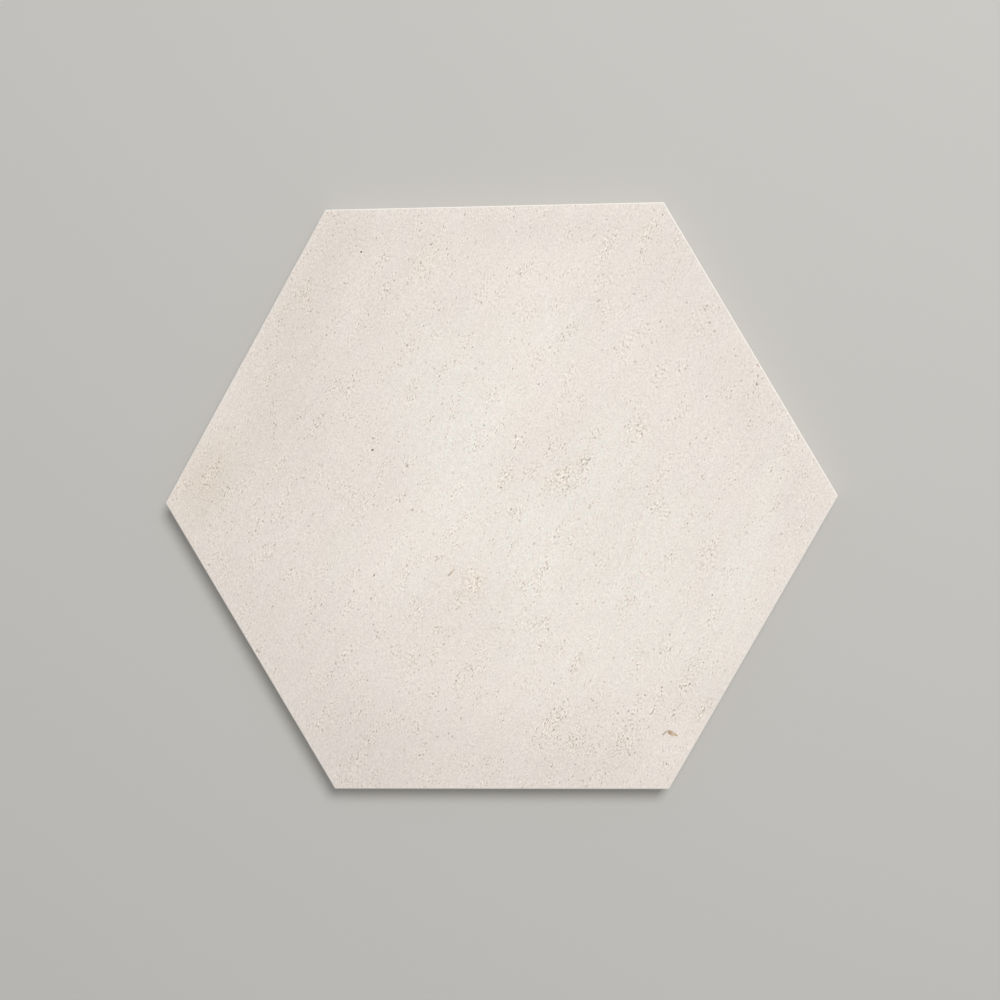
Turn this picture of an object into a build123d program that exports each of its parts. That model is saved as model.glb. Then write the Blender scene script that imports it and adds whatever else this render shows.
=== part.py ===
from build123d import *

# Hexagon porcelain tile: one dry-pressed and fired piece with ground edges, lying face up.
# Millimetres, +Z up. The origin is at the middle of the plane that the back's ribs lie in,
# and +X points at a corner, so that two of the six edges run along X.

import os
from math import cos, radians, sin, tan

# Format
ACROSS_FLATS = 200.0
THICKNESS = 9.0

# Ground edges: a fine bevel round the face, and a wider one round the back
FACE_BEVEL = 0.3
BACK_BEVEL = 1.0

# Back: shallow hexagonal cells pressed between the ribs that the adhesive keys to
BACK_BORDER = 7.0
CELL_RINGS = 4
RIB_WIDTH = 3.5
CELL_DEPTH = 0.7
CELL_DRAFT = 25.0
CELL_CORNER_RADIUS = 1.5

APOTHEM = ACROSS_FLATS / 2
# Half of the angle that one side of a hexagon spans, seen from its middle
HALF_SECTOR = 30.0


def cell_pitch():
    """Distance between neighbouring cells that fills the back out to its plain border."""
    corner_reach = 1 / (2 * cos(radians(HALF_SECTOR)))
    row_step = cos(radians(HALF_SECTOR))
    room = APOTHEM - BACK_BEVEL - BACK_BORDER
    return (room + RIB_WIDTH * corner_reach) / (CELL_RINGS * row_step + corner_reach)


def cell_centres(pitch):
    """Middles of the cells: one in the centre and CELL_RINGS hexagonal rings round it."""
    steps = range(-CELL_RINGS, CELL_RINGS + 1)
    across = sin(radians(HALF_SECTOR))
    up = cos(radians(HALF_SECTOR))
    return [
        (pitch * (column + row * across), pitch * row * up)
        for row in steps
        for column in steps
        if abs(row + column) <= CELL_RINGS
    ]


PITCH = cell_pitch()
MOUTH_APOTHEM = (PITCH - RIB_WIDTH) / 2
FLOOR_APOTHEM = MOUTH_APOTHEM - CELL_DEPTH * tan(radians(CELL_DRAFT))

# One cell, with its wide mouth in the resting plane and walls that lean,
# so that the press plate lifts out of it
with BuildPart() as cell:
    for height, apothem in ((0, MOUTH_APOTHEM), (CELL_DEPTH, FLOOR_APOTHEM)):
        with BuildSketch(Plane.XY.offset(height)) as level:
            RegularPolygon(
                radius=apothem, side_count=6, major_radius=False, rotation=HALF_SECTOR
            )
            fillet(level.vertices(), radius=CELL_CORNER_RADIUS)
    loft(ruled=True)

with BuildPart() as hexagon_tile:
    with BuildSketch(Plane.XY) as outline:
        RegularPolygon(radius=APOTHEM, side_count=6, major_radius=False)
    extrude(amount=THICKNESS)
    chamfer(hexagon_tile.edges().group_by(Axis.Z)[-1], length=FACE_BEVEL)
    chamfer(hexagon_tile.edges().group_by(Axis.Z)[0], length=BACK_BEVEL)
    with Locations(*cell_centres(PITCH)):
        add(cell.part, mode=Mode.SUBTRACT)

os.makedirs("parts", exist_ok=True)
hexagon_tile.part.label = "hexagon_tile"
export_step(hexagon_tile.part, "parts/hexagon_tile.step")
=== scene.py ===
import random
from math import atan2, cos, degrees, exp, radians, sin

import bmesh
import bpy
import numpy as np
from mathutils import Euler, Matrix, Vector, kdtree, noise


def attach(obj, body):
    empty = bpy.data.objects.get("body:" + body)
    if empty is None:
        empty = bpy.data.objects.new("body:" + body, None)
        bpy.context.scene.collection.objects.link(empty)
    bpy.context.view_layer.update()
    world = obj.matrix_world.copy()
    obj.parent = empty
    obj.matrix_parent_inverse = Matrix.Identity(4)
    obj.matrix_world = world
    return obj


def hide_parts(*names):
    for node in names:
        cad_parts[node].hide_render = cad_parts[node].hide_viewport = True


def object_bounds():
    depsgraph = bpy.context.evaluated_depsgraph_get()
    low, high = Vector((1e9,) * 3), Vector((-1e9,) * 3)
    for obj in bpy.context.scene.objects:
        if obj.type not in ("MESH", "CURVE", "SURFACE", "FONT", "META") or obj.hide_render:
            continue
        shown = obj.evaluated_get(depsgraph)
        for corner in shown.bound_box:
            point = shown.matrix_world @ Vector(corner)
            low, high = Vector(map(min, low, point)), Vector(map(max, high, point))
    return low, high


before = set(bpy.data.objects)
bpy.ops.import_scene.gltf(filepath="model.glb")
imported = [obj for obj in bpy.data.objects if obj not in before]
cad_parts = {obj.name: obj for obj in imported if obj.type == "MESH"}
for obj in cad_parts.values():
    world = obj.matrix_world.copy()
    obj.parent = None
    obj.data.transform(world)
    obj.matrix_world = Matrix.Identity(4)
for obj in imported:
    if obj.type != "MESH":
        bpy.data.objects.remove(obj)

CAD_LOW, CAD_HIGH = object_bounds()


# Camera
# It looks down on the tile from almost straight above, as the photograph does. Pixels of that picture,
# which is 1000 by 1000, are turned to places on the tile's face through the same view.
PICTURE = 1000
LENS_MM = 50.4
SENSOR_MM = 36.0
EYE = Vector((0.02909, 0.01619, 0.48775))
LOOK = Euler((radians(-1.997), radians(3.331), radians(-0.728)))

view = bpy.data.cameras.new("view")
view.lens = LENS_MM
view.sensor_width = SENSOR_MM
view.clip_start = 0.01
camera = bpy.data.objects.new("camera", view)
camera.location = EYE
camera.rotation_euler = LOOK
bpy.context.scene.collection.objects.link(camera)
bpy.context.scene.camera = camera

FACE_HEIGHT = CAD_HIGH.z
PIXEL = (EYE.z - FACE_HEIGHT) * SENSOR_MM / LENS_MM / PICTURE


def on_face(column, row):
    """The place on the tile's face, in metres, that a pixel of the photograph shows."""
    across = (column - PICTURE / 2) / PICTURE * SENSOR_MM / LENS_MM
    up = (PICTURE / 2 - row) / PICTURE * SENSOR_MM / LENS_MM
    ray = LOOK.to_matrix() @ Vector((across, up, -1))
    hit = EYE + ray * ((FACE_HEIGHT - EYE.z) / ray.z)
    return np.array((hit.x, hit.y))


# Porcelain body
# The tile is one piece of dry-pressed porcelain, fired and then ground on its six edges. Its edges, fine
# bevels and ribbed back keep the shape of the solid, and only the flat face is cut out, to be modelled anew.
MM = 0.001
WELD = 0.001 * MM
CELL_FLOOR = 0.7 * MM

# How many cuts each side of the face gets, first and then again, round the rim and in the net alike
FACE_CUTS = (59, 1)

body = bpy.data.objects.new("tile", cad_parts["hexagon_tile"].data.copy())
bpy.context.scene.collection.objects.link(body)


def work_on(piece):
    """Selects one piece alone and opens it in edit mode, with nothing in its mesh selected."""
    bpy.ops.object.select_all(action="DESELECT")
    piece.select_set(True)
    bpy.context.view_layer.objects.active = piece
    bpy.ops.object.mode_set(mode="EDIT")
    bpy.ops.mesh.select_all(action="DESELECT")


# The flat face is cut out, and its rim is cut as finely as the net that fills it later
work_on(body)
bpy.ops.mesh.customdata_custom_splitnormals_clear()
bpy.ops.mesh.select_all(action="SELECT")
bpy.ops.mesh.remove_doubles(threshold=WELD)
bpy.ops.mesh.select_all(action="DESELECT")
bpy.context.tool_settings.mesh_select_mode = (False, False, True)
shell = bmesh.from_edit_mesh(body.data)
for flat in shell.faces:
    flat.select = flat.normal.z > 0.9 and flat.calc_center_median().z > FACE_HEIGHT - 0.01 * MM
bmesh.update_edit_mesh(body.data)
bpy.ops.mesh.delete(type="FACE")
bpy.context.tool_settings.mesh_select_mode = (False, True, False)
shell = bmesh.from_edit_mesh(body.data)
for edge in shell.edges:
    edge.select = edge.is_boundary
FACE_CORNER = max(edge.verts[0].co.x for edge in shell.edges if edge.is_boundary)
bmesh.update_edit_mesh(body.data)
for cuts in FACE_CUTS:
    bpy.ops.mesh.subdivide(number_cuts=cuts)
bpy.ops.object.mode_set(mode="OBJECT")


def linear(hex_colour):
    """An sRGB colour such as #D8D0C4 as the linear red, green, blue and alpha that a shader reads."""
    parts = [int(hex_colour[k : k + 2], 16) / 255 for k in (1, 3, 5)]
    return (*[p / 12.92 if p <= 0.04045 else ((p + 0.055) / 1.055) ** 2.4 for p in parts], 1)


def add_node(material, kind, inputs=None, **settings):
    """Adds one node with its settings; each input is given a value, or the output that it is linked to.

    An input goes by its name or number. On a Map Range, 1 and 2 are the values that it reads, and 3 and 4
    those that it gives for them. On a Mix, 0 is the share of the second colour, and 6 and 7 are the two.
    """
    made = material.node_tree.nodes.new(kind)
    for name, value in settings.items():
        setattr(made, name, value)
    for key, value in (inputs or {}).items():
        if isinstance(value, bpy.types.NodeSocket):
            material.node_tree.links.new(value, made.inputs[key])
        else:
            made.inputs[key].default_value = value
    return made


def new_material(name):
    """An empty node material and its Principled shader."""
    material = bpy.data.materials.new(name)
    material.use_nodes = True
    return material, material.node_tree.nodes["Principled BSDF"]


# Ground porcelain: the bare body on the ground edges and the bevel round the face. It is even and fine, with
# the body's own darker grains and the wheel's faint lines along each edge, drawn as coarse as they need to be
# to show. The bevel, which faces up, carries a painted highlight: it is coloured palest, so it reads as a
# thin bright line.
ground, shader = new_material("ground_porcelain_edge")
place = add_node(ground, "ShaderNodeTexCoord").outputs["Object"]
wheel_space = add_node(
    ground,
    "ShaderNodeMapping",
    {"Vector": place, "Scale": (24 * MM, 24 * MM, 0.35 * MM)},
    vector_type="TEXTURE",
)
wheel = add_node(
    ground, "ShaderNodeTexNoise", {"Vector": wheel_space.outputs[0], "Scale": 1.0, "Detail": 3.0}
)
grit_space = add_node(
    ground,
    "ShaderNodeMapping",
    {"Vector": place, "Scale": (0.5 * MM, 0.5 * MM, 0.5 * MM)},
    vector_type="TEXTURE",
)
grit = add_node(ground, "ShaderNodeTexNoise", {"Vector": grit_space.outputs[0], "Scale": 1.0, "Detail": 2.0})
grains = add_node(ground, "ShaderNodeMapRange", {"Value": grit.outputs[0], 1: 0.6, 2: 0.72, 3: 0.0, 4: 0.7})
paste = add_node(
    ground,
    "ShaderNodeMix",
    {0: wheel.outputs[0], 6: linear("#ECE3D7"), 7: linear("#F7F2EA")},
    data_type="RGBA",
)
bare = add_node(
    ground,
    "ShaderNodeMix",
    {0: grains.outputs[0], 6: paste.outputs[2], 7: linear("#C9BBA6")},
    data_type="RGBA",
)
# Painted highlight: faces that point upwards, which are the bevel round the face, are mixed towards
# near-white
normal = add_node(ground, "ShaderNodeNewGeometry").outputs["True Normal"]
upward = add_node(ground, "ShaderNodeSeparateXYZ", {"Vector": normal}).outputs["Z"]
arris_highlight = add_node(ground, "ShaderNodeMapRange", {"Value": upward, 1: 0.3, 2: 0.6, 3: 0.0, 4: 0.85})
highlighted_edge = add_node(
    ground, "ShaderNodeMix", {0: arris_highlight.outputs[0], 6: bare.outputs[2], 7: linear("#FFFBF5")}, data_type="RGBA"
)
ground.node_tree.links.new(highlighted_edge.outputs[2], shader.inputs["Base Color"])
polish = add_node(ground, "ShaderNodeMapRange", {"Value": wheel.outputs[0], 1: 0.3, 2: 0.7, 3: 0.45, 4: 0.62})
ground.node_tree.links.new(polish.outputs[0], shader.inputs["Roughness"])
scores = add_node(
    ground, "ShaderNodeBump", {"Strength": 0.5, "Distance": 0.02 * MM, "Height": wheel.outputs[0]}
)
ground.node_tree.links.new(scores.outputs[0], shader.inputs["Normal"])

# Pressed porcelain: the unglazed back and the bevel round it. Its ribs and border carry a thin chalky wash
# that keeps the tile from sticking in the kiln, and the cells between them show the warmer, duller body.
pressed, shader = new_material("pressed_porcelain_back")
place = add_node(pressed, "ShaderNodeTexCoord").outputs["Object"]
height = add_node(pressed, "ShaderNodeSeparateXYZ", {"Vector": place}).outputs["Z"]
cloud_space = add_node(
    pressed,
    "ShaderNodeMapping",
    {"Vector": place, "Scale": (14 * MM, 14 * MM, 14 * MM)},
    vector_type="TEXTURE",
)
blotch = add_node(
    pressed,
    "ShaderNodeTexNoise",
    {"Vector": cloud_space.outputs[0], "Scale": 1.0, "Detail": 5.0, "Roughness": 0.65},
)
powder_space = add_node(
    pressed,
    "ShaderNodeMapping",
    {"Vector": place, "Scale": (0.7 * MM, 0.7 * MM, 0.7 * MM)},
    vector_type="TEXTURE",
)
powder = add_node(
    pressed, "ShaderNodeTexNoise", {"Vector": powder_space.outputs[0], "Scale": 1.0, "Detail": 2.0}
)
raised = add_node(
    pressed,
    "ShaderNodeMapRange",
    {"Value": height, 1: 0.15 * CELL_FLOOR, 2: 0.8 * CELL_FLOOR, 3: 0.85, 4: 0.0},
)
patchy = add_node(
    pressed, "ShaderNodeMapRange", {"Value": blotch.outputs[0], 1: 0.35, 2: 0.6, 3: 0.35, 4: 1.0}
)
chalk = add_node(
    pressed, "ShaderNodeMath", {0: raised.outputs[0], 1: patchy.outputs[0]}, operation="MULTIPLY"
)
clay = add_node(
    pressed,
    "ShaderNodeMix",
    {0: blotch.outputs[0], 6: linear("#CDC2B1"), 7: linear("#DDD4C6")},
    data_type="RGBA",
)
washed = add_node(
    pressed,
    "ShaderNodeMix",
    {0: chalk.outputs[0], 6: clay.outputs[2], 7: linear("#E7E3DC")},
    data_type="RGBA",
)
dusting = add_node(
    pressed, "ShaderNodeMapRange", {"Value": powder.outputs[0], 1: 0.3, 2: 0.7, 3: 0.94, 4: 1.05}
)
dusty = add_node(
    pressed, "ShaderNodeVectorMath", {0: washed.outputs[2], "Scale": dusting.outputs[0]}, operation="SCALE"
)
pressed.node_tree.links.new(dusty.outputs[0], shader.inputs["Base Color"])
shader.inputs["Roughness"].default_value = 0.8
press_skin = add_node(
    pressed, "ShaderNodeBump", {"Strength": 0.6, "Distance": 0.06 * MM, "Height": powder.outputs[0]}
)
pressed.node_tree.links.new(press_skin.outputs[0], shader.inputs["Normal"])

body.data.materials.clear()
body.data.materials.append(ground)
body.data.materials.append(pressed)
for facet in body.data.polygons:
    facet.material_index = int(facet.normal.z < -0.3)


# Pitted face
# The decorated face is a digital print of a cream limestone on the pressed porcelain, with fine pits that
# run in one slanting direction and crowd together in patches. It is a hexagon cut into a fine net, whose
# chosen corners are bevelled into small pits, stretched along the grain and sunk.
bpy.ops.object.select_all(action="DESELECT")
bpy.ops.mesh.primitive_circle_add(
    vertices=6,
    radius=FACE_CORNER,
    fill_type="TRIFAN",
    calc_uvs=False,
    location=(0, 0, FACE_HEIGHT),
    rotation=(0, 0, radians(30)),
)
face = bpy.context.object
face.name = "pitted_face"
bpy.ops.object.transform_apply()
work_on(face)
bpy.ops.mesh.select_all(action="SELECT")
for cuts in FACE_CUTS:
    bpy.ops.mesh.subdivide(number_cuts=cuts)
bpy.ops.object.mode_set(mode="OBJECT")

NET = FACE_CORNER / ((FACE_CUTS[0] + 1) * (FACE_CUTS[1] + 1))
GRAIN = radians(56)
GRAIN_ALONG = np.array((cos(GRAIN), sin(GRAIN)))
GRAIN_ACROSS = np.array((-sin(GRAIN), cos(GRAIN)))
dice = random.Random(41)

# Patches where the pits crowd: middle column and row in the photograph, half length and half width in its
# pixels, slant in degrees, how full of pits the patch is, and how beige its stone is
PIT_PATCHES = (
    (561, 480, 17, 9, 35, 0.75, 0.9),
    (582, 461, 12, 4, 60, 0.55, 0.7),
    (506, 475, 9, 5, 60, 0.5, 0.6),
    (499, 485, 6, 4, 50, 0.45, 0.5),
    (535, 468, 9, 5, 50, 0.45, 0.4),
    (516, 511, 11, 5, 20, 0.4, 0.4),
    (480, 526, 10, 7, 60, 0.2, 0.5),
    (473, 583, 14, 9, 62, 0.8, 0.9),
    (460, 600, 11, 6, 75, 0.35, 0.5),
    (439, 559, 6, 4, 60, 0.35, 0.6),
    (437, 630, 8, 4, 60, 0.4, 0.6),
    (447, 635, 7, 4, 60, 0.35, 0.5),
    (434, 656, 12, 4, 60, 0.45, 0.5),
    (468, 665, 9, 5, 55, 0.4, 0.4),
    (460, 681, 8, 5, 55, 0.4, 0.5),
    (433, 693, 8, 5, 60, 0.4, 0.4),
    (396, 651, 10, 5, 50, 0.3, 0.5),
    (412, 660, 8, 4, 50, 0.3, 0.5),
    (532, 626, 9, 5, 60, 0.3, 0.4),
    (539, 645, 8, 4, 60, 0.3, 0.4),
    (577, 664, 12, 4, 60, 0.45, 0.7),
    (627, 604, 9, 6, 50, 0.3, 0.5),
    (655, 506, 9, 5, 60, 0.4, 0.4),
    (637, 525, 9, 5, 60, 0.35, 0.5),
    (670, 557, 10, 5, 60, 0.3, 0.4),
    (659, 695, 8, 5, 55, 0.4, 0.4),
    (640, 433, 10, 5, 35, 0.5, 0.8),
    (518, 440, 9, 5, 55, 0.4, 0.4),
    (580, 398, 7, 4, 55, 0.3, 0.5),
    (430, 259, 24, 13, 60, 0.22, 0.7),
    (307, 297, 12, 7, 50, 0.3, 0.8),
    (283, 310, 9, 5, 50, 0.25, 0.8),
    (520, 271, 11, 4, 65, 0.4, 0.3),
    (599, 302, 10, 5, 60, 0.3, 0.3),
    (608, 282, 9, 4, 60, 0.3, 0.3),
    (563, 341, 11, 5, 60, 0.3, 0.3),
    (646, 333, 9, 5, 55, 0.25, 0.4),
    (647, 230, 12, 7, 50, 0.35, 0.5),
    (592, 240, 9, 5, 60, 0.25, 0.3),
    (552, 725, 26, 10, 62, 0.4, 0.5),
    (575, 740, 20, 9, 60, 0.36, 0.5),
    (623, 739, 20, 14, 60, 0.33, 0.5),
    (594, 748, 9, 6, 40, 0.4, 0.5),
    (687, 680, 16, 9, 60, 0.35, 0.6),
    (654, 711, 6, 4, 60, 0.4, 0.4),
    (704, 710, 14, 4, 60, 0.4, 0.7),
    (183, 486, 12, 6, 20, 0.4, 0.8),
    (210, 476, 16, 6, 62, 0.6, 1.0),
)

# Single pits: column and row in the photograph, length in its pixels, slant in degrees, how dark the pit is,
# and how rusty its stain is
SINGLE_PITS = (
    (340.2, 390.6, 2.2, 56, 1.0, 0.0),
    (382.4, 347.8, 2.4, 60, 0.6, 0.0),
    (304.9, 355.0, 2.0, 56, 0.5, 0.0),
    (323.8, 352.4, 2.2, 56, 0.35, 0.1),
    (330.0, 350.0, 3.4, 50, 0.35, 0.1),
    (322.0, 339.0, 3.4, 85, 0.35, 0.1),
    (324.0, 359.6, 3.2, 88, 0.35, 0.1),
    (353.0, 369.6, 3.2, 85, 0.4, 0.2),
    (346.8, 385.0, 3.2, 80, 0.3, 0.1),
    (319.8, 341.0, 2.0, 60, 0.3, 0.1),
    (360.6, 371.3, 2.4, 60, 0.4, 0.3),
    (359.0, 381.0, 2.2, 56, 0.3, 0.1),
    (351.4, 379.0, 2.2, 56, 0.25, 0.1),
    (365.7, 357.8, 2.2, 56, 0.3, 0.1),
    (377.8, 399.0, 2.2, 70, 0.3, 0.1),
    (382.4, 408.6, 2.2, 56, 0.4, 0.1),
    (438.0, 559.0, 2.8, 50, 0.4, 0.6),
    (443.0, 556.0, 2.8, 50, 0.4, 0.7),
    (435.7, 561.5, 2.4, 50, 0.35, 0.6),
    (437.2, 585.0, 3.0, 88, 0.3, 0.4),
    (446.0, 586.0, 2.2, 56, 0.25, 0.3),
    (465.7, 579.6, 3.2, 60, 0.45, 0.4),
    (463.3, 585.0, 3.2, 70, 0.4, 0.4),
    (467.3, 585.0, 2.6, 56, 0.4, 0.4),
    (471.4, 587.6, 2.6, 50, 0.45, 0.4),
    (471.9, 580.4, 2.6, 60, 0.4, 0.4),
    (475.4, 578.0, 2.6, 56, 0.4, 0.4),
    (479.0, 588.0, 2.8, 50, 0.55, 0.4),
    (481.4, 584.4, 2.6, 56, 0.45, 0.4),
    (485.0, 590.0, 2.4, 50, 0.35, 0.4),
    (473.0, 590.5, 2.6, 56, 0.4, 0.4),
    (464.7, 593.6, 2.8, 50, 0.4, 0.4),
    (456.7, 598.0, 2.4, 60, 0.3, 0.4),
    (462.0, 604.0, 2.2, 56, 0.3, 0.3),
    (472.2, 602.2, 2.2, 56, 0.3, 0.3),
    (483.4, 593.3, 2.4, 56, 0.35, 0.4),
    (485.0, 572.0, 2.4, 56, 0.3, 0.4),
    (488.0, 569.0, 2.6, 50, 0.3, 0.6),
    (478.5, 559.0, 2.2, 56, 0.3, 0.4),
    (507.8, 556.3, 3.2, 45, 0.35, 0.3),
    (491.5, 609.4, 3.0, 60, 0.65, 0.9),
    (500.0, 612.0, 3.0, 60, 0.65, 0.6),
    (498.0, 605.7, 2.2, 40, 0.3, 0.8),
    (490.0, 621.0, 2.2, 56, 0.3, 0.4),
    (519.8, 615.4, 2.4, 56, 0.4, 0.2),
    (517.0, 622.0, 2.6, 60, 0.4, 0.2),
    (513.5, 619.5, 2.2, 56, 0.3, 0.2),
    (533.0, 627.0, 3.4, 62, 0.4, 0.3),
    (435.7, 628.0, 3.4, 60, 0.45, 0.3),
    (437.8, 631.0, 2.4, 60, 0.4, 0.3),
    (448.0, 636.7, 2.6, 60, 0.4, 0.3),
    (652.4, 692.5, 2.4, 56, 0.45, 0.2),
    (668.8, 693.4, 2.4, 56, 0.4, 0.2),
    (664.0, 702.0, 2.0, 90, 0.35, 0.3),
    (657.3, 711.5, 2.8, 56, 0.45, 0.4),
    (655.8, 713.7, 2.2, 40, 0.35, 0.4),
    (675.6, 705.5, 2.4, 60, 0.3, 0.5),
    (695.8, 717.0, 2.2, 60, 0.35, 0.4),
    (706.8, 709.8, 2.2, 56, 0.3, 0.4),
    (683.5, 727.3, 2.0, 56, 0.35, 0.2),
    (653.7, 732.4, 2.2, 56, 0.3, 0.1),
    (669.5, 740.3, 2.4, 90, 0.3, 0.2),
    (687.5, 744.5, 2.0, 56, 0.35, 0.0),
    (640.0, 757.5, 2.6, 70, 0.5, 0.2),
    (640.0, 762.0, 2.2, 70, 0.35, 0.2),
    (647.5, 767.5, 2.6, 50, 0.4, 0.2),
    (350.0, 310.0, 2.0, 56, 0.4, 0.1),
    (420.0, 484.0, 2.2, 56, 0.45, 0.1),
    (556.0, 544.0, 3.0, 45, 0.6, 0.2),
    (543.0, 545.5, 2.2, 50, 0.3, 0.2),
    (658.0, 481.0, 2.2, 56, 0.45, 0.1),
    (599.0, 471.0, 2.2, 50, 0.35, 0.1),
    (592.5, 503.0, 2.8, 60, 0.4, 0.2),
    (585.5, 478.6, 3.6, 60, 0.7, 0.4),
    (575.5, 487.7, 3.2, 56, 0.7, 0.4),
    (581.4, 477.7, 2.6, 50, 0.45, 0.5),
    (576.8, 479.5, 2.4, 60, 0.4, 0.4),
    (583.6, 483.2, 2.4, 50, 0.4, 0.5),
    (572.3, 484.5, 2.4, 50, 0.4, 0.5),
    (556.4, 481.4, 2.8, 60, 0.55, 0.4),
    (558.6, 486.4, 2.4, 60, 0.6, 0.3),
    (553.5, 490.2, 3.0, 50, 0.55, 0.5),
    (564.0, 475.0, 3.2, 56, 0.5, 0.4),
    (566.0, 467.8, 2.6, 56, 0.4, 0.4),
    (537.3, 461.4, 3.0, 60, 0.5, 0.4),
    (537.8, 465.2, 2.8, 56, 0.45, 0.5),
    (531.8, 477.3, 3.0, 40, 0.5, 0.6),
    (536.8, 475.5, 2.6, 56, 0.4, 0.3),
    (554.5, 456.8, 2.4, 60, 0.5, 0.2),
    (550.5, 460.0, 2.4, 60, 0.35, 0.4),
    (549.0, 499.5, 2.2, 50, 0.25, 0.2),
    (559.5, 495.5, 2.4, 50, 0.35, 0.4),
    (538.2, 506.8, 2.4, 50, 0.35, 0.3),
    (594.8, 458.0, 2.4, 50, 0.4, 0.5),
    (583.5, 458.8, 2.4, 56, 0.45, 0.5),
    (579.0, 463.8, 3.0, 60, 0.4, 0.5),
    (614.5, 526.5, 3.0, 56, 0.35, 0.1),
    (582.0, 529.5, 3.0, 56, 0.4, 0.5),
    (374.0, 496.0, 3.2, 62, 0.4, 0.1),
    (398.0, 561.0, 3.2, 62, 0.4, 0.1),
    (391.0, 547.0, 3.2, 62, 0.35, 0.1),
    (382.0, 464.0, 3.2, 62, 0.4, 0.1),
    (332.0, 592.0, 3.2, 62, 0.35, 0.1),
    (279.0, 658.0, 3.4, 65, 0.45, 0.5),
    (300.0, 679.0, 2.2, 56, 0.4, 0.1),
    (386.0, 693.0, 2.2, 56, 0.4, 0.1),
    (412.0, 705.0, 2.2, 56, 0.35, 0.1),
    (394.0, 750.0, 2.2, 56, 0.35, 0.1),
    (534.0, 699.0, 3.2, 60, 0.4, 0.2),
    (446.0, 517.0, 2.6, 60, 0.35, 0.2),
    (516.0, 326.0, 2.4, 60, 0.35, 0.1),
    (579.0, 293.0, 2.4, 60, 0.35, 0.1),
    (704.0, 368.0, 2.6, 50, 0.35, 0.1),
    (219.5, 457.5, 2.6, 60, 0.3, 0.8),
    (222.0, 462.0, 2.4, 50, 0.25, 0.8),
    (216.5, 461.5, 2.6, 60, 0.3, 0.9),
    (218.5, 467.0, 2.4, 56, 0.25, 0.8),
    (213.5, 469.5, 2.8, 60, 0.3, 0.9),
    (211.0, 474.5, 2.6, 60, 0.35, 0.9),
    (206.5, 477.5, 2.8, 56, 0.35, 0.9),
    (209.5, 480.5, 2.4, 50, 0.3, 0.9),
    (205.0, 482.5, 2.6, 60, 0.3, 0.9),
    (301.0, 291.0, 2.4, 56, 0.3, 0.7),
    (306.0, 296.0, 2.6, 60, 0.3, 0.7),
    (284.0, 309.0, 2.6, 56, 0.3, 0.7),
)


def spread(places, patch, edge=1.5):
    """How far inside an oval patch each place is: 1 in its middle, half at its rim and 0 well outside.

    A higher edge makes the fall at the rim steeper.
    """
    column, row, half_length, half_width, slant = patch[:5]
    away = places - on_face(column, row)
    along = away @ np.array((cos(radians(slant)), sin(radians(slant)))) / (half_length * PIXEL)
    across = away @ np.array((-sin(radians(slant)), cos(radians(slant)))) / (half_width * PIXEL)
    return np.exp(-((along**2 + across**2) ** edge) * 0.7)


def streaky(places, length, width, seed):
    """Smooth noise from about -1 to 1 whose blots are stretched along the grain."""
    turned = np.stack((places @ GRAIN_ALONG / length, places @ GRAIN_ACROSS / width), 1)
    return np.array([noise.noise(Vector((x, y, seed))) for x, y in turned])


# The net's corners are shaken out of their rows. The nearest one to each single pit is drawn to its place,
# and those round it are shaken less.
mesh = face.data
net = np.array([v.co[:] for v in mesh.vertices])
walls = np.array([(cos(radians(30 + 60 * k)), sin(radians(30 + 60 * k))) for k in range(6)])
rim_gap = FACE_CORNER * cos(radians(30)) - (net[:, :2] @ walls.T).max(1)
SHAKE = 0.26
shake = np.array([(dice.uniform(-1, 1), dice.uniform(-1, 1)) for _ in net]) * NET * SHAKE
singles = {}
for single in SINGLE_PITS:
    aim = on_face(*single[:2])
    gaps = np.hypot(*(net[:, :2] - aim).T)
    nearest = int(np.argmin(gaps))
    if nearest not in singles and rim_gap[nearest] > NET * 1.5:
        shake[gaps < 1.6 * NET] *= 0.3
        singles[nearest] = (aim, single)
shake[rim_gap < NET * 0.5] = 0
net[:, :2] += shake
for index, (aim, single) in singles.items():
    net[index, :2] = aim

# The chance of a pit at each corner: a few stray ones, more along loose streaks, and most in the patches,
# which are broken up
crowd = np.zeros(len(net))
for patch in PIT_PATCHES:
    crowd = np.maximum(crowd, patch[5] * spread(net[:, :2], patch))
loose = np.clip(streaky(net[:, :2], 16 * MM, 5 * MM, 1.7) + 0.1, 0, 1)
broken = np.clip(0.75 + 0.9 * streaky(net[:, :2], 3.2 * MM, 1.6 * MM, 9.2), 0.15, 1.3)
STRAY_CHANCE = 0.012
LOOSE_CHANCE = 0.06
PATCH_CHANCE = 0.9
chance = STRAY_CHANCE + LOOSE_CHANCE * loose + PATCH_CHANCE * crowd * broken
lot = np.array([dice.random() for _ in net])
pitted = (lot < chance) & (rim_gap > NET * 1.5)
pitted[list(singles)] = True

# The face sways and bows by a few hundredths of a millimetre, as a pressed and fired one does, and not at
# its rim
SWAY_DEPTH = 0.006 * MM
BOWL_DEPTH = 0.03 * MM
FLAT_RIM = 4 * MM
sway = 0.5 + 0.5 * streaky(net[:, :2], 9 * MM, 5 * MM, 21.4)
bowl = 0.5 + 0.5 * streaky(net[:, :2], 30 * MM, 22 * MM, 4.9)
net[:, 2] -= (SWAY_DEPTH * sway + BOWL_DEPTH * bowl) * np.clip(rim_gap / FLAT_RIM, 0, 1)
for vertex, spot in zip(mesh.vertices, net):
    vertex.co = spot

PIT_BEVEL = 0.1 * MM
PIT_HALF_LENGTH = 0.56 * MM
PIT_LIP = 0.02 * MM
PIT_FLOOR_SHARE = 0.76
PALEST_DEPTH = 0.04 * MM
DARKEST_EXTRA_DEPTH = 0.05 * MM

# Most pits are pale and few are dark or rusty: the higher the rate, the rarer. The patches have darker ones.
DARK_RATE = 3.7
PALE_RATE = 5.5
RUST_RATE = 5

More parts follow.
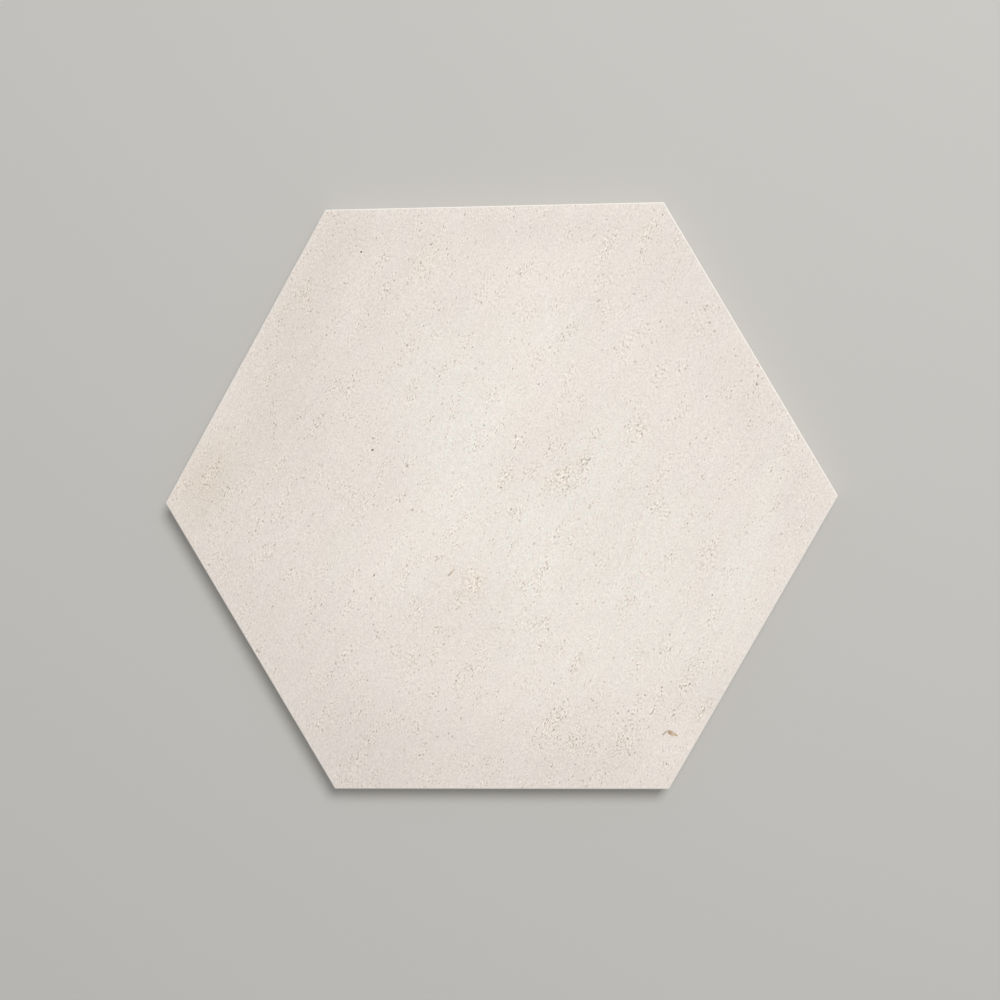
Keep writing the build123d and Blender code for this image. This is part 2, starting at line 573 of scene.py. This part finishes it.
# Trees that find the corner of the net, or the pit, nearest to a place
pit_numbers = np.flatnonzero(pitted)
near = kdtree.KDTree(len(net))
for index, spot in enumerate(net):
    near.insert((*spot[:2], 0), index)
near.balance()
near_pit = kdtree.KDTree(len(pit_numbers))
for index in pit_numbers:
    near_pit.insert((*net[index, :2], 0), index)
near_pit.balance()

work_on(face)
bpy.context.tool_settings.mesh_select_mode = (True, False, False)
sheet = bmesh.from_edit_mesh(mesh)
sheet.verts.ensure_lookup_table()
for index in pit_numbers:
    sheet.verts[index].select = True
bmesh.update_edit_mesh(mesh)
bpy.ops.mesh.bevel(offset=PIT_BEVEL, offset_type="OFFSET", segments=1, affect="VERTICES")

# The bevel leaves a small hexagon at each chosen corner. Each is shaped into a pit's mouth, with a length
# and width, a slant near the grain, a share of dark stain and a share of rust.
mouths = {}
sheet = bmesh.from_edit_mesh(mesh)
for mouth in sheet.faces:
    if mouth.select:
        centre = mouth.calc_center_median()
        index, gap = near_pit.find((centre.x, centre.y, 0))[1:]
        if gap > PIT_BEVEL / 2:
            mouth.select = False
        else:
            mouths[index] = mouth
sheet.select_flush(False)
darkness = {}
rust = {}
for index in sorted(mouths):
    spot = (*net[index, :2], 0)
    slant = GRAIN + radians(dice.gauss(0, 14))
    half_length = PIT_HALF_LENGTH * exp(dice.gauss(0, 0.3))
    half_width = half_length / dice.uniform(2.2, 3.4)
    darkness[index] = min(0.95, 0.06 + dice.expovariate(DARK_RATE if crowd[index] > 0.15 else PALE_RATE))
    rust[index] = min(1.0, dice.expovariate(RUST_RATE))
    if index in singles:
        length, slant, darkness[index], rust[index] = singles[index][1][2:]
        slant = radians(slant)
        half_length = length / 2 * PIXEL
        half_width = half_length / 2.0
    # A pit leaves room for the net's next corner and for the next pit
    room = min(0.68 * near.find_n(spot, 2)[-1][2], 0.48 * near_pit.find_n(spot, 2)[-1][2])
    shrink = min(1.0, room / half_length)
    along = Vector((cos(slant), sin(slant), 0)) * half_length * shrink
    across = Vector((-sin(slant), cos(slant), 0)) * half_width * max(shrink, 0.8)
    centre = mouths[index].calc_center_median()
    for corner in mouths[index].verts:
        ray = (corner.co - centre).normalized()
        ragged = dice.uniform(0.82, 1.12)
        lengthwise = along * ray.dot(along.normalized())
        sideways = across * ray.dot(across.normalized())
        corner.co = centre + (lengthwise + sideways) * ragged
bmesh.update_edit_mesh(mesh)
bpy.ops.mesh.inset(thickness=PIT_LIP, use_individual=True)

# The pits are sunk, and their stain is noted: red for a floor's stain, green for the painted highlight, a
# pale halo at its rim, and blue for how rusty it is
sheet = bmesh.from_edit_mesh(mesh)
sheet.verts.index_update()
stain_and_halo_at = {}
for floor in sheet.faces:
    if floor.select:
        centre = floor.calc_center_median()
        index = near_pit.find((centre.x, centre.y, 0))[1]
        depth = PALEST_DEPTH + DARKEST_EXTRA_DEPTH * darkness[index]
        for corner in floor.verts:
            rim = next(side.other_vert(corner) for side in corner.link_edges if floor not in side.link_faces)
            corner.co = centre + (rim.co - centre) * PIT_FLOOR_SHARE
            corner.co.z -= depth
            stain_and_halo_at[corner.index] = (darkness[index], 0, rust[index])
            stain_and_halo_at[rim.index] = (0, darkness[index], rust[index])
bmesh.update_edit_mesh(mesh)
bpy.ops.object.mode_set(mode="OBJECT")

# Broad tones of the printed stone, whose lightness is partly the print's own and partly painted shade for the
# fall
# of light across the face: middle column and row, half length and half width in pixels of the photograph,
# slant, how much lighter it is there, how thick the grey-green clumps are, and how beige it is
CLOUDS = (
    (520, 380, 80, 40, 60, 0.45, 0.1, 0.0),
    (500, 465, 40, 30, 60, 0.35, 0.0, 0.0),
    (455, 540, 50, 40, 90, 0.6, 0.0, 0.0),
    (540, 560, 60, 40, 100, 0.6, 0.1, 0.0),
    (380, 570, 45, 30, 60, 0.6, 0.0, 0.0),
    (560, 665, 130, 60, 10, 0.7, 0.0, 0.0),
    (670, 735, 40, 36, 60, 0.35, 0.0, 0.0),
    (690, 265, 110, 55, 120, -0.9, 0.0, 0.0),
    (760, 420, 60, 30, 120, -0.5, 0.0, 0.0),
    (400, 225, 70, 30, 0, -0.5, 0.0, 0.0),
    (386, 302, 70, 22, 65, -0.45, 0.0, 0.0),
    (205, 475, 34, 22, 60, -0.65, 0.0, 0.5),
    (190, 515, 30, 20, 60, -0.3, 0.0, 0.1),
    (345, 765, 80, 50, 130, -0.85, 0.0, 0.0),
    (245, 610, 90, 40, 125, -0.5, 0.0, 0.0),
    (310, 288, 90, 30, 60, -1.15, 0.0, 0.12),
    (278, 430, 80, 38, 60, -0.9, 0.0, 0.1),
    (450, 290, 60, 20, 60, -0.25, 0.0, 0.0),
    (415, 650, 40, 30, 60, 0.25, 0.0, 0.0),
    (450, 755, 90, 35, 0, -0.3, 0.0, 0.0),
    (580, 765, 60, 25, 10, -0.3, 0.0, 0.0),
    (545, 228, 70, 18, 0, -0.75, 0.0, 0.0),
    (345, 232, 24, 24, 0, -0.15, 0.0, 0.0),
    (425, 515, 70, 40, 75, 0.25, 0.1, 0.0),
    (500, 470, 24, 18, 60, -0.35, 0.0, 0.0),
    (703, 700, 26, 20, 60, -0.35, 0.0, 0.0),
    (400, 722, 40, 20, 0, -0.25, 0.0, 0.0),
    (595, 300, 40, 20, 60, -0.35, 0.0, 0.0),
    (800, 500, 40, 26, 100, -0.45, 0.0, 0.0),
    (265, 475, 40, 16, 60, 0.35, 0.0, 0.0),
    (640, 570, 60, 40, 60, 0.2, 0.2, 0.0),
    (448, 398, 58, 40, 105, 0.05, 0.85, 0.0),
    (462, 480, 60, 36, 95, 0.1, 0.6, 0.0),
    (540, 335, 60, 26, 170, 0.0, 0.35, 0.0),
    (517, 396, 18, 14, 60, 0.0, 0.4, 0.0),
    (607, 450, 44, 28, 55, 0.15, 0.7, 0.0),
    (560, 512, 60, 26, 25, 0.15, 0.55, 0.0),
    (523, 570, 54, 34, 80, 0.05, 0.65, 0.0),
    (640, 560, 60, 50, 60, 0.1, 0.4, 0.0),
    (740, 590, 55, 18, 75, 0.2, 0.7, 0.0),
    (768, 490, 40, 12, 75, 0.3, 0.45, 0.0),
    (600, 650, 80, 45, 20, 0.0, 0.35, 0.0),
    (344, 548, 26, 18, 70, 0.0, 0.35, 0.0),
    (402, 575, 40, 24, 60, 0.0, 0.3, 0.0),
    (675, 511, 26, 20, 60, 0.0, 0.3, 0.0),
    (680, 660, 40, 30, 80, 0.1, 0.3, 0.0),
)


def tone_of(places):
    """How light, how grey-green and how beige the print is at each place, as the parts of a colour; the
    lightness also holds painted shade.
    """
    lightness_and_shade = 0.515 + 0.045 * streaky(places, 20 * MM, 6 * MM, 3.1)
    cool = 0.05 + 0.1 * streaky(places, 12 * MM, 8 * MM, 12.4)
    beige = 0.1 + 0.12 * streaky(places, 12 * MM, 4 * MM, 5.5)
    # The clouds' lightness is partly the print's and partly painted shade, darker where less light falls on
    # the face
    for cloud in CLOUDS:
        lightness_and_shade += 0.25 * cloud[5] * spread(places, cloud, 1.1)
        cool += cloud[6] * spread(places, cloud, 1.1)
        beige += cloud[7] * spread(places, cloud, 1.1)
    for patch in PIT_PATCHES:
        wide = (*patch[:2], patch[2] * 1.3, patch[3] * 1.4, patch[4])
        beige = np.maximum(beige, 0.4 * patch[6] * spread(places, wide))
    return np.clip(np.stack((lightness_and_shade, cool, beige, np.ones_like(lightness_and_shade)), 1), 0, 1)


# Each pit's stain, and the painted highlight round its rim, are stored on the mesh
for part in (mesh, body.data):
    stain_and_halo_colours = np.zeros((len(part.vertices), 4))
    if part == mesh:
        for index, colour in stain_and_halo_at.items():
            stain_and_halo_colours[index, :3] = colour
    pit_stain_and_halo = part.color_attributes.new("pit_stain_and_halo", "FLOAT_COLOR", "POINT")
    pit_stain_and_halo.data.foreach_set("color", stain_and_halo_colours.ravel())


# Matt glaze over the printed stone: cream, with faint grey-green and beige clouds, a fine slanting grain like
# sand, and pores that hold a beige or rusty stain
glaze, shader = new_material("matt_limestone_glaze")
place = add_node(glaze, "ShaderNodeTexCoord").outputs["Object"]
tone = add_node(glaze, "ShaderNodeAttribute", attribute_name="stone_tone_and_shade")
tones = add_node(glaze, "ShaderNodeSeparateColor", {"Color": tone.outputs["Color"]})
lightness_and_shade, cool, beige = tones.outputs[0], tones.outputs[1], tones.outputs[2]
pit = add_node(glaze, "ShaderNodeAttribute", attribute_name="pit_stain_and_halo")
pits = add_node(glaze, "ShaderNodeSeparateColor", {"Color": pit.outputs["Color"]})
crowding = add_node(glaze, "ShaderNodeAttribute", attribute_name="crowding").outputs["Fac"]

# Patterns of the print, each with the real length and width of its blots along and across the grain. The
# ink's own dots are finer than the sand, which is as coarse as it needs to be to show.
patterns = {}
for name, length, width, detail in (
    ("sand", 0.66 * MM, 0.19 * MM, 0.0),
    ("mottle", 2.4 * MM, 1.1 * MM, 2.0),
    ("clump", 2.4 * MM, 1.8 * MM, 3.0),
    ("wisp", 9 * MM, 2.2 * MM, 3.0),
    ("streak", 24 * MM, 1.4 * MM, 1.0),
):
    space = add_node(
        glaze,
        "ShaderNodeMapping",
        {"Vector": place, "Rotation": (0, 0, GRAIN), "Scale": (length, width, width)},
        vector_type="TEXTURE",
    )
    blots = add_node(
        glaze, "ShaderNodeTexNoise", {"Vector": space.outputs[0], "Scale": 1.0, "Detail": detail}
    )
    patterns[name] = blots.outputs["Fac"]

# Fine pores, too small to model: each cell of a slanting scatter may hold one, of its own size and darkness,
# with a pale lip along its two sides that is a painted highlight. They crowd where the pits do.
PORE_LENGTH = 1.45 * MM
PORE_WIDTH = 0.4 * MM
wander = add_node(glaze, "ShaderNodeTexNoise", {"Vector": place, "Scale": 1 / (0.6 * MM), "Detail": 1.0})
shaken = add_node(
    glaze,
    "ShaderNodeVectorMath",
    {0: wander.outputs["Color"], 1: (0.12 * MM, 0.12 * MM, 0.0), 2: place},
    operation="MULTIPLY_ADD",
)
pore_space = add_node(
    glaze,
    "ShaderNodeMapping",
    {"Vector": shaken.outputs[0], "Rotation": (0, 0, GRAIN), "Scale": (PORE_LENGTH, PORE_WIDTH, 1.0)},
    vector_type="TEXTURE",
)
scatter = add_node(
    glaze, "ShaderNodeTexVoronoi", {"Vector": pore_space.outputs[0], "Scale": 1.0}, voronoi_dimensions="2D"
)
lots = add_node(glaze, "ShaderNodeSeparateColor", {"Color": scatter.outputs["Color"]})
pore_edge = add_node(glaze, "ShaderNodeMapRange", {"Value": lots.outputs[0], 3: 0.2, 4: 0.46})
pore_core = add_node(glaze, "ShaderNodeMath", {0: pore_edge.outputs[0], 1: 0.5}, operation="MULTIPLY")
dot = add_node(
    glaze,
    "ShaderNodeMapRange",
    {"Value": scatter.outputs["Distance"], 1: pore_edge.outputs[0], 2: pore_core.outputs[0], 3: 0.0, 4: 1.0},
)
lip_edge = add_node(glaze, "ShaderNodeMath", {0: pore_edge.outputs[0], 1: 2.3}, operation="MULTIPLY")
lip_oval = add_node(
    glaze,
    "ShaderNodeMapRange",
    {"Value": scatter.outputs["Distance"], 1: lip_edge.outputs[0], 2: pore_edge.outputs[0], 3: 0.0, 4: 1.0},
)
ring = add_node(glaze, "ShaderNodeMath", {0: lip_oval.outputs[0], 1: dot.outputs[0]}, operation="SUBTRACT")
from_middle = add_node(
    glaze,
    "ShaderNodeVectorMath",
    {0: pore_space.outputs[0], 1: scatter.outputs["Position"]},
    operation="SUBTRACT",
)
sides = add_node(glaze, "ShaderNodeSeparateXYZ", {"Vector": from_middle.outputs[0]})
aside = add_node(glaze, "ShaderNodeMath", {0: sides.outputs["Y"]}, operation="ABSOLUTE")
lean = add_node(
    glaze, "ShaderNodeMath", {0: aside.outputs[0], 1: scatter.outputs["Distance"]}, operation="DIVIDE"
)
flank = add_node(glaze, "ShaderNodeMapRange", {"Value": lean.outputs[0], 1: 0.45, 2: 0.8, 3: 0.0, 4: 1.0})
lip_highlight = add_node(glaze, "ShaderNodeMath", {0: ring.outputs[0], 1: flank.outputs[0]}, operation="MULTIPLY")
fullness = add_node(glaze, "ShaderNodeMapRange", {"Value": crowding, 3: 0.13, 4: 0.95})
present = add_node(
    glaze, "ShaderNodeMath", {0: lots.outputs[1], 1: fullness.outputs[0]}, operation="LESS_THAN"
)
rare = add_node(glaze, "ShaderNodeMath", {0: lots.outputs[2], 1: 3.2}, operation="POWER")
weight = add_node(glaze, "ShaderNodeMapRange", {"Value": rare.outputs[0], 3: 0.13, 4: 1.0})
deeper = add_node(glaze, "ShaderNodeMapRange", {"Value": crowding, 3: 1.0, 4: 2.0})
deep = add_node(glaze, "ShaderNodeMath", {0: weight.outputs[0], 1: deeper.outputs[0]}, operation="MULTIPLY")
strength = add_node(
    glaze, "ShaderNodeMath", {0: present.outputs[0], 1: deep.outputs[0]}, operation="MULTIPLY"
)
pores = add_node(glaze, "ShaderNodeMath", {0: dot.outputs[0], 1: strength.outputs[0]}, operation="MULTIPLY")
lip_highlights = add_node(glaze, "ShaderNodeMath", {0: lip_highlight.outputs[0], 1: strength.outputs[0]}, operation="MULTIPLY")

# In the patches the stone stands in pale grains, with a beige seam round each that is closed here and there
CRUST_LENGTH = 1.9 * MM
CRUST_WIDTH = 0.6 * MM
crust_space = add_node(
    glaze,
    "ShaderNodeMapping",
    {"Vector": shaken.outputs[0], "Rotation": (0, 0, GRAIN), "Scale": (CRUST_LENGTH, CRUST_WIDTH, 1.0)},
    vector_type="TEXTURE",
)
crust = add_node(
    glaze,
    "ShaderNodeTexVoronoi",
    {"Vector": crust_space.outputs[0], "Scale": 1.0},
    voronoi_dimensions="2D",
    feature="DISTANCE_TO_EDGE",
)
seam = add_node(
    glaze, "ShaderNodeMapRange", {"Value": crust.outputs["Distance"], 1: 0.16, 2: 0.02, 3: 0.0, 4: 1.0}
)
gone = add_node(glaze, "ShaderNodeMapRange", {"Value": patterns["mottle"], 1: 0.4, 2: 0.6, 3: 0.0, 4: 1.0})
open_seam = add_node(glaze, "ShaderNodeMath", {0: seam.outputs[0], 1: gone.outputs[0]}, operation="MULTIPLY")
seams = add_node(glaze, "ShaderNodeMath", {0: open_seam.outputs[0], 1: crowding}, operation="MULTIPLY")
crown = add_node(
    glaze, "ShaderNodeMapRange", {"Value": crust.outputs["Distance"], 1: 0.12, 2: 0.3, 3: 0.0, 4: 0.2}
)
crowns = add_node(
    glaze, "ShaderNodeMath", {0: crown.outputs[0], 1: crowding, 2: 1.0}, operation="MULTIPLY_ADD"
)

# Strokes of the print: both ends as column and row in the photograph, width in its pixels, and how strong
# the grey brown and the tan in it are
STROKES = (
    (448.4, 575.5, 451.0, 573.0, 1.3, 0.6, 0.3),
    (451.0, 573.0, 454.0, 569.5, 2.2, 0.0, 0.45),
    (586.4, 464.3, 587.4, 462.4, 1.3, 0.25, 0.6),
    (588.6, 460.6, 590.0, 458.2, 1.3, 0.55, 0.3),
    (554.4, 472.1, 558.6, 468.8, 1.1, 0.2, 0.3),
    (561.2, 491.8, 563.4, 489.2, 1.1, 0.25, 0.35),
    (567.3, 489.1, 569.5, 486.8, 1.1, 0.3, 0.4),
    (589.0, 508.3, 590.8, 506.4, 1.1, 0.3, 0.3),
    (651.8, 713.2, 654.4, 708.8, 1.2, 0.6, 0.2),
    (651.0, 714.4, 651.3, 713.9, 1.3, 0.5, 0.0),
    (673.1, 716.2, 673.8, 714.2, 1.1, 0.6, 0.2),
    (674.4, 710.6, 674.8, 710.0, 1.3, 0.55, 0.1),
    (676.2, 708.8, 681.5, 703.0, 0.9, 0.3, 0.15),
    (702.4, 710.8, 704.6, 709.2, 1.1, 0.35, 0.2),
    (663.2, 734.5, 667.2, 730.8, 1.4, 0.6, 0.45),
    (669.6, 732.4, 673.2, 734.0, 3.8, 0.0, 0.85),
    (672.5, 734.0, 677.0, 735.4, 1.9, 0.0, 0.95),
    (668.0, 730.9, 670.6, 731.5, 1.1, 0.5, 0.4),
    (671.3, 731.8, 675.0, 733.5, 0.9, 0.3, 0.5),
    (668.6, 733.5, 671.2, 735.2, 1.0, 0.5, 0.2),
    (669.4, 732.1, 669.8, 732.3, 0.9, 0.5, 0.0),
    (671.7, 733.4, 672.0, 733.6, 0.9, 0.4, 0.0),
    (674.2, 734.3, 674.6, 734.5, 0.8, 0.35, 0.0),
    (656.8, 694.8, 659.4, 697.0, 1.4, 0.15, 0.25),
    (663.0, 698.6, 663.4, 701.4, 0.9, 0.25, 0.1),
)
brown = 0.0
tan = 0.0
for start_column, start_row, end_column, end_row, stroke_width, brown_share, tan_share in STROKES:
    start = Vector((*on_face(start_column, start_row), FACE_HEIGHT))
    run = Vector((*on_face(end_column, end_row), FACE_HEIGHT)) - start
    half_width = stroke_width / 2 * PIXEL
    away = add_node(glaze, "ShaderNodeVectorMath", {0: place, 1: start}, operation="SUBTRACT").outputs[0]
    share = add_node(
        glaze,
        "ShaderNodeVectorMath",
        {0: away, 1: run / run.length_squared},
        operation="DOT_PRODUCT",
    ).outputs["Value"]
    held = add_node(glaze, "ShaderNodeClamp", {0: share}).outputs[0]
    foot = add_node(glaze, "ShaderNodeVectorMath", {0: run, "Scale": held}, operation="SCALE").outputs[0]
    gap = add_node(glaze, "ShaderNodeVectorMath", {0: away, 1: foot}, operation="DISTANCE").outputs["Value"]
    line = add_node(
        glaze, "ShaderNodeMapRange", {"Value": gap, 1: half_width * 1.6, 2: half_width * 0.4, 3: 0.0, 4: 1.0}
    ).outputs[0]
    brown_line = add_node(glaze, "ShaderNodeMath", {0: line, 1: brown_share}, operation="MULTIPLY").outputs[0]
    tan_line = add_node(glaze, "ShaderNodeMath", {0: line, 1: tan_share}, operation="MULTIPLY").outputs[0]
    brown = add_node(glaze, "ShaderNodeMath", {0: brown, 1: brown_line}, operation="MAXIMUM").outputs[0]
    tan = add_node(glaze, "ShaderNodeMath", {0: tan, 1: tan_line}, operation="MAXIMUM").outputs[0]

# The ink of the strokes is broken up a little by the same noise that shifts the pores
torn = add_node(
    glaze, "ShaderNodeMapRange", {"Value": wander.outputs["Fac"], 1: 0.38, 2: 0.58, 3: 0.4, 4: 1.1}
)
brown = add_node(glaze, "ShaderNodeMath", {0: brown, 1: torn.outputs[0]}, operation="MULTIPLY").outputs[0]
tan = add_node(glaze, "ShaderNodeMath", {0: tan, 1: torn.outputs[0]}, operation="MULTIPLY").outputs[0]

plain = add_node(
    glaze, "ShaderNodeMix", {0: beige, 6: linear("#EAE1D9"), 7: linear("#E8DBCB")}, data_type="RGBA"
)
broken_up = add_node(
    glaze, "ShaderNodeMapRange", {"Value": patterns["clump"], 1: 0.36, 2: 0.64, 3: 0.12, 4: 0.85}
)
greyed = add_node(glaze, "ShaderNodeMath", {0: cool, 1: broken_up.outputs[0]}, operation="MULTIPLY")
cooled = add_node(
    glaze,
    "ShaderNodeMix",
    {0: greyed.outputs[0], 6: plain.outputs[2], 7: linear("#E9E7DE")},
    data_type="RGBA",
)
# The stone's lightness holds painted shade as well as the print's own tone
brightness = add_node(glaze, "ShaderNodeMapRange", {"Value": lightness_and_shade, 3: 0.85, 4: 1.15}).outputs[0]
for name, low_share, high_share in (
    ("sand", 0.875, 1.125),
    ("mottle", 0.984, 1.016),
    ("wisp", 0.99, 1.01),
    ("streak", 0.988, 1.012),
):
    shade = add_node(
        glaze, "ShaderNodeMapRange", {"Value": patterns[name], 1: 0.25, 2: 0.75, 3: low_share, 4: high_share}
    ).outputs[0]
    brightness = add_node(glaze, "ShaderNodeMath", {0: brightness, 1: shade}, operation="MULTIPLY").outputs[0]
# Painted highlight: the lips beside the pores make the stone paler there
highlight_lift = add_node(glaze, "ShaderNodeMath", {0: lip_highlights.outputs[0], 1: 0.46, 2: 1.0}, operation="MULTIPLY_ADD")
for raise_by in (crowns, highlight_lift):
    brightness = add_node(
        glaze, "ShaderNodeMath", {0: brightness, 1: raise_by.outputs[0]}, operation="MULTIPLY"
    ).outputs[0]
stone = add_node(
    glaze, "ShaderNodeVectorMath", {0: cooled.outputs[2], "Scale": brightness}, operation="SCALE"
)
colour = stone.outputs[0]
# Painted highlight: a pale halo is painted round the rim of each modelled pit
halo_highlight_share = add_node(glaze, "ShaderNodeMath", {0: pits.outputs[1], 1: 0.42}, operation="MULTIPLY").outputs[0]
seam_share = add_node(
    glaze, "ShaderNodeMath", {0: seams.outputs[0], 1: 0.75}, operation="MULTIPLY"
).outputs[0]
pit_dye = add_node(
    glaze, "ShaderNodeMix", {0: pits.outputs[2], 6: linear("#5E4A3D"), 7: linear("#9E6A3E")}, data_type="RGBA"
).outputs[2]
for share, dye in (
    (halo_highlight_share, linear("#F8F4EE")),
    (seam_share, linear("#AB9782")),
    (pores.outputs[0], linear("#735B49")),
    (tan, linear("#C09A6C")),
    (brown, linear("#6E5E4E")),
    (pits.outputs[0], pit_dye),
):
    colour = add_node(glaze, "ShaderNodeMix", {0: share, 6: colour, 7: dye}, data_type="RGBA").outputs[2]
glaze.node_tree.links.new(colour, shader.inputs["Base Color"])
shader.inputs["Roughness"].default_value = 0.6
pitting = add_node(glaze, "ShaderNodeMath", {0: pores.outputs[0], 1: brown}, operation="ADD").outputs[0]
sunk = add_node(glaze, "ShaderNodeMath", {0: seams.outputs[0], 1: pitting}, operation="ADD").outputs[0]
relief = add_node(glaze, "ShaderNodeMath", {0: sunk, 1: -1.0, 2: 1.0}, operation="MULTIPLY_ADD").outputs[0]
skin = add_node(glaze, "ShaderNodeBump", {"Strength": 0.3, "Distance": 0.02 * MM, "Height": relief})
glaze.node_tree.links.new(skin.outputs[0], shader.inputs["Normal"])
mesh.materials.append(glaze)

# The new face is joined to the body along its rim, where both are cut alike
RIM_WELD = 0.02 * MM
bpy.ops.object.select_all(action="DESELECT")
face.select_set(True)
body.select_set(True)
bpy.context.view_layer.objects.active = body
bpy.ops.object.join()
tile = body
work_on(tile)
bpy.ops.mesh.select_all(action="SELECT")
bpy.ops.mesh.remove_doubles(threshold=RIM_WELD)
bpy.ops.object.mode_set(mode="OBJECT")

places = np.array([v.co[:2] for v in tile.data.vertices])
# The stone's tone holds painted shade in its lightness, besides the print's own clouds
stone_tone_and_shade = tile.data.color_attributes.new("stone_tone_and_shade", "FLOAT_COLOR", "POINT")
stone_tone_and_shade.data.foreach_set("color", tone_of(places).ravel())
crowding_at = 0.85 * np.clip(streaky(places, 11 * MM, 3.5 * MM, 1.7) + 0.05, 0, 1)
for patch in PIT_PATCHES:
    crowding_at = np.maximum(crowding_at, min(1.0, 1.8 * patch[5]) * spread(places, patch))
fine_pits = tile.data.attributes.new("crowding", "FLOAT", "POINT")
fine_pits.data.foreach_set("value", crowding_at)
bpy.ops.object.shade_smooth_by_angle(angle=radians(30))

# Its own bake map is laid out flat in a square: the face whole in one corner, the back at a smaller scale
# above it, and the six edges as strips, one above the other, beside the back
MAP_SIZE = 330 * MM
MAP_GAP = 3 * MM
BACK_SCALE = 0.6
HALF_LENGTH = CAD_HIGH.x
HALF_WIDTH = CAD_HIGH.y

# Where the back's and the face's materials stand among the tile's three
PRESSED = 1
GLAZED = 2

bake_map = tile.data.uv_layers.new(name="OFBake")
tile.data.uv_layers.active = bake_map
bake_map.active_render = True
for facet in tile.data.polygons:
    turn = round(degrees(atan2(facet.center.y, facet.center.x)) / 60 - 0.5)
    facing = radians(60 * turn + 30)
    outward = Vector((cos(facing), sin(facing), 0))
    beside = Vector((-sin(facing), cos(facing), 0))
    for loop in facet.loop_indices:
        corner = tile.data.vertices[tile.data.loops[loop].vertex_index].co
        if facet.material_index == GLAZED:
            spot = Vector((corner.x + HALF_LENGTH + MAP_GAP, corner.y + HALF_WIDTH + MAP_GAP))
        elif facet.material_index == PRESSED:
            spot = Vector((HALF_LENGTH - corner.x, corner.y + HALF_WIDTH)) * BACK_SCALE
            spot += Vector((MAP_GAP, 2 * HALF_WIDTH + 2 * MAP_GAP))
        else:
            height_up = corner.z + HALF_WIDTH - corner.dot(outward)
            strip = (turn + 3) * (FACE_HEIGHT + 2 * MAP_GAP)
            spot = Vector((corner.dot(beside) + HALF_LENGTH / 2, height_up + strip))
            spot += Vector((2 * HALF_LENGTH * BACK_SCALE + 2 * MAP_GAP, 2 * HALF_WIDTH + 2 * MAP_GAP))
        bake_map.data[loop].uv = spot / MAP_SIZE
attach(tile, "root")
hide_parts("hexagon_tile")


# Floor and light
# A plain pale studio floor, one soft lamp from the upper right, and even light from all round.
bpy.ops.mesh.primitive_plane_add(size=6, location=(0, 0, 0))
floor = bpy.context.object
floor.name = "floor"
floor_paint, shader = new_material("pale_floor_paint")
shader.inputs["Base Color"].default_value = linear("#C4C2BE")
shader.inputs["Roughness"].default_value = 0.9
floor.data.materials.append(floor_paint)

soft = bpy.data.lights.new("soft_box", "AREA")
soft.shape = "DISK"
soft.size = 0.75
soft.energy = 17.0
lamp = bpy.data.objects.new("soft_box", soft)
lamp.location = (0.46, 0.69, 1.38)
lamp.rotation_euler = (-lamp.location).to_track_quat("-Z", "Y").to_euler()
bpy.context.scene.collection.objects.link(lamp)

world = bpy.data.worlds.new("studio")
bpy.context.scene.world = world
world.use_nodes = True
world.node_tree.nodes["Background"].inputs["Color"].default_value = (1, 1, 1, 1)
world.node_tree.nodes["Background"].inputs["Strength"].default_value = 0.42

bpy.context.scene.view_settings.view_transform = "Standard"
